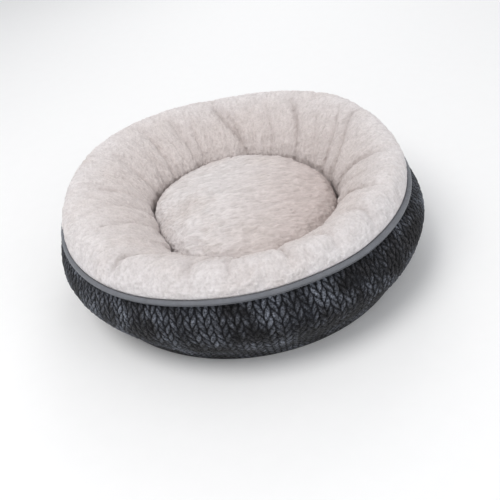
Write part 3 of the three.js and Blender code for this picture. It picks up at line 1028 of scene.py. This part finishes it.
def build_cushion_stuffing():
    """The cushion's filling: both panels drawn in towards its middle."""
    points, used, quads = sewn_forms(72)
    middle = np.array([0, 0, (CUSHION_TOP + CUSHION_BOTTOM) / 2])
    points = middle + (points - middle) * np.array([0.92, 0.92, 0.86])
    filling = mesh_object("cushion_stuffing", points[used], quads, fibre)
    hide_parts("cushion_fill")
    return filling


# The cool tone is the lit colour and the warm one painted shade; shade is the painted shade in the folds,
# hollow the painted shade between the tufts.
cushion_cream = plush_material(
    "cushion_plush",
    lit_cool=(0.80, 0.76, 0.757),
    shaded_warm=(0.67, 0.58, 0.555),
    blush=(0.72, 0.65, 0.62),
    shade=(0.42, 0.36, 0.34),
    nap=(0.35, 1, 1),
    hollow=(0.82, 0.81, 0.805),
)
top_step, bottom_step = plump_cushion()
cushion_top = build_panel("cushion_top", "cushion_top_panel", True, 250, top_step)
cushion_bottom = build_panel("cushion_bottom", "cushion_bottom_panel", False, 130, bottom_step)
cushion_stuffing = build_cushion_stuffing()
for piece in (cushion_top, cushion_bottom, cushion_stuffing):
    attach(piece, "cushion")


# ---- Base and nest floor ----


def build_disc(name, radius, bottom, top, material, tucks=False):
    """A flat round of cloth, solid but for a pinhole in the middle that keeps its grid in quads."""
    angles = turned_angles(240)
    shares = np.concatenate([[0.001], np.linspace(0, 1, 40)[1:]])
    upper = revolve(np.stack([radius * shares, np.full_like(shares, top)], 1), angles)
    if tucks:
        upper -= foot_tuck(angles)[:, None] * shares[None, :, None] ** 3
    lower = upper * (1, 1, 0) + (0, 0, bottom)
    ring = np.concatenate([upper, lower[:, ::-1]], 1)
    quads = grid_faces(*ring.shape[:2], True, True)
    return mesh_object(name, ring, quads[:, ::-1], material)


def scatter(name, form, quads, places, material):
    """One piece made of copies of a small closed form, each with its own 4 x 3 placing."""
    points = np.einsum("pj,njk->npk", np.c_[form, np.ones(len(form))], places)
    index = quads[None] + len(form) * np.arange(len(places))[:, None, None]
    return mesh_object(name, points, index.reshape(-1, 4), material)


def build_dots():
    """The printed non-slip dots under the base, in staggered rows."""
    spacing, radius, height, around = 16 * MM, 2.2 * MM, 0.8 * MM, 12
    rings = np.array([(0.01, 1.0), (1.0, 1.0), (1.0, 0.35), (0.75, 0.08), (0.35, 0.0), (0.01, 0.0)])
    form = revolve(rings * (radius, height), turned_angles(around)).reshape(-1, 3)
    last = len(rings) - 1
    caps = []
    for end in (0, last):
        for q in range(1, around - 2, 2):
            cap = [k * len(rings) + end for k in (0, q, q + 1, q + 2)]
            caps.append(cap if end == last else cap[::-1])
    quads = np.concatenate([grid_faces(around, len(rings), wrap_rows=True), np.array(caps)])
    rows = np.arange(-15, 16)
    x, y = np.meshgrid(rows * spacing, rows * spacing * math.sqrt(0.75), indexing="ij")
    x = x + spacing / 2 * (rows[None, :] % 2)
    inside = np.hypot(x, y) < BASE_R - 14 * MM
    places = np.zeros((inside.sum(), 4, 3))
    places[:, :3] = np.eye(3)
    places[:, 3, 0], places[:, 3, 1] = x[inside], y[inside]
    return scatter("base_dots", form, quads[:, ::-1], places, rubber)


rubber = plastic_material("grip_rubber", (0.03, 0.03, 0.033))
base_cloth = weave_material("base_cloth", (0.022, 0.023, 0.026), 0.0009, 0.8)
lining_cloth = weave_material("lining_cloth", (0.5, 0.47, 0.44), 0.0007, 0.9)
base = build_disc("base_cloth", BASE_R - 0.5 * MM, 0.8 * MM, BASE_TOP, base_cloth, tucks=True)
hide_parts("base_panel")
lining = build_disc("nest_floor", LINING_R, LINING_LOW, LINING_TOP, lining_cloth)
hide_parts("floor_lining")
base_dots = build_dots()
for piece in (base, lining, base_dots):
    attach(piece, "bed")

tape = weave_material("zip_tape", (0.62, 0.57, 0.53), 0.0005, 0.8)
nylon = plastic_material("zip_nylon", (0.58, 0.53, 0.49))
metal = metal_material()


def build_coil(name, node):
    """One row of the zip's coil as a wound thread along the cushion's side."""
    low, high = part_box(node)
    begin = math.atan2(low.y, high.x)
    sweep = math.pi - 2 * begin
    reach = Vector((high.x, low.y)).length
    path_r = reach + (high.y - reach) / 2
    half_deep, half_tall = (high.y - reach) / 2 - 0.28 * MM, (high.z - low.z) / 2 - 0.28 * MM
    wire_r, turn_pitch, turn_points, around = 0.27 * MM, 1.5 * MM, 14, 6
    turns = int(sweep * path_r / turn_pitch)
    t = np.linspace(0, 1, turns * turn_points)
    a = begin + sweep * t
    w = TAU * turns * t
    r = path_r + half_deep * np.cos(w)
    z = (low.z + high.z) / 2 + half_tall * np.sin(w)
    path = np.stack([r * np.cos(a), r * np.sin(a), z], 1)
    along_path = np.gradient(path, axis=0)
    along_path /= np.linalg.norm(along_path, axis=1)[:, None]
    side = np.cross(along_path, np.stack([-np.sin(a), np.cos(a), 0 * a], 1))
    side /= np.linalg.norm(side, axis=1)[:, None]
    other = np.cross(along_path, side)
    turn = turned_angles(around)[None, :, None]
    across = np.cos(turn) * side[:, None] + np.sin(turn) * other[:, None]
    wire = path[:, None] + wire_r * across
    quads = grid_faces(len(path), around, wrap_columns=True)
    caps = np.array([[0, 1, 2, 3], [0, 3, 4, 5]])
    last = caps[:, ::-1] + (len(path) - 1) * around
    coil = mesh_object(name, wire, np.concatenate([quads, caps, last])[:, ::-1], nylon)
    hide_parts(node)
    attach(coil, "cushion")
    return coil


coils = [build_coil("coil_upper", "zip_coil_upper"), build_coil("coil_lower", "zip_coil_lower")]
for node, material in (
    ("zip_tape_upper", tape),
    ("zip_tape_lower", tape),
    ("zip_stop_start", metal),
    ("zip_stop_end", metal),
    ("zip_slider", metal),
):
    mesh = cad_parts[node].data
    mesh.materials.clear()
    mesh.materials.append(material)


# ---- Floor ----


def build_floor():
    material, tree, shader, place = node_material("floor")
    specks = noise_node(tree, place, 40, 2)
    tone = mix(tree, specks, (0.93, 0.93, 0.93), (0.95, 0.95, 0.95))
    set_shader(tree, shader, tone, 0.9)
    mesh = bpy.data.meshes.new("floor")
    size = 30
    corners = [(-size, -size, 0), (size, -size, 0), (size, size, 0), (-size, size, 0)]
    mesh.from_pydata(corners, [], [(0, 1, 2, 3)])
    mesh.materials.append(material)
    floor = bpy.data.objects.new("floor", mesh)
    bpy.context.scene.collection.objects.link(floor)


build_floor()
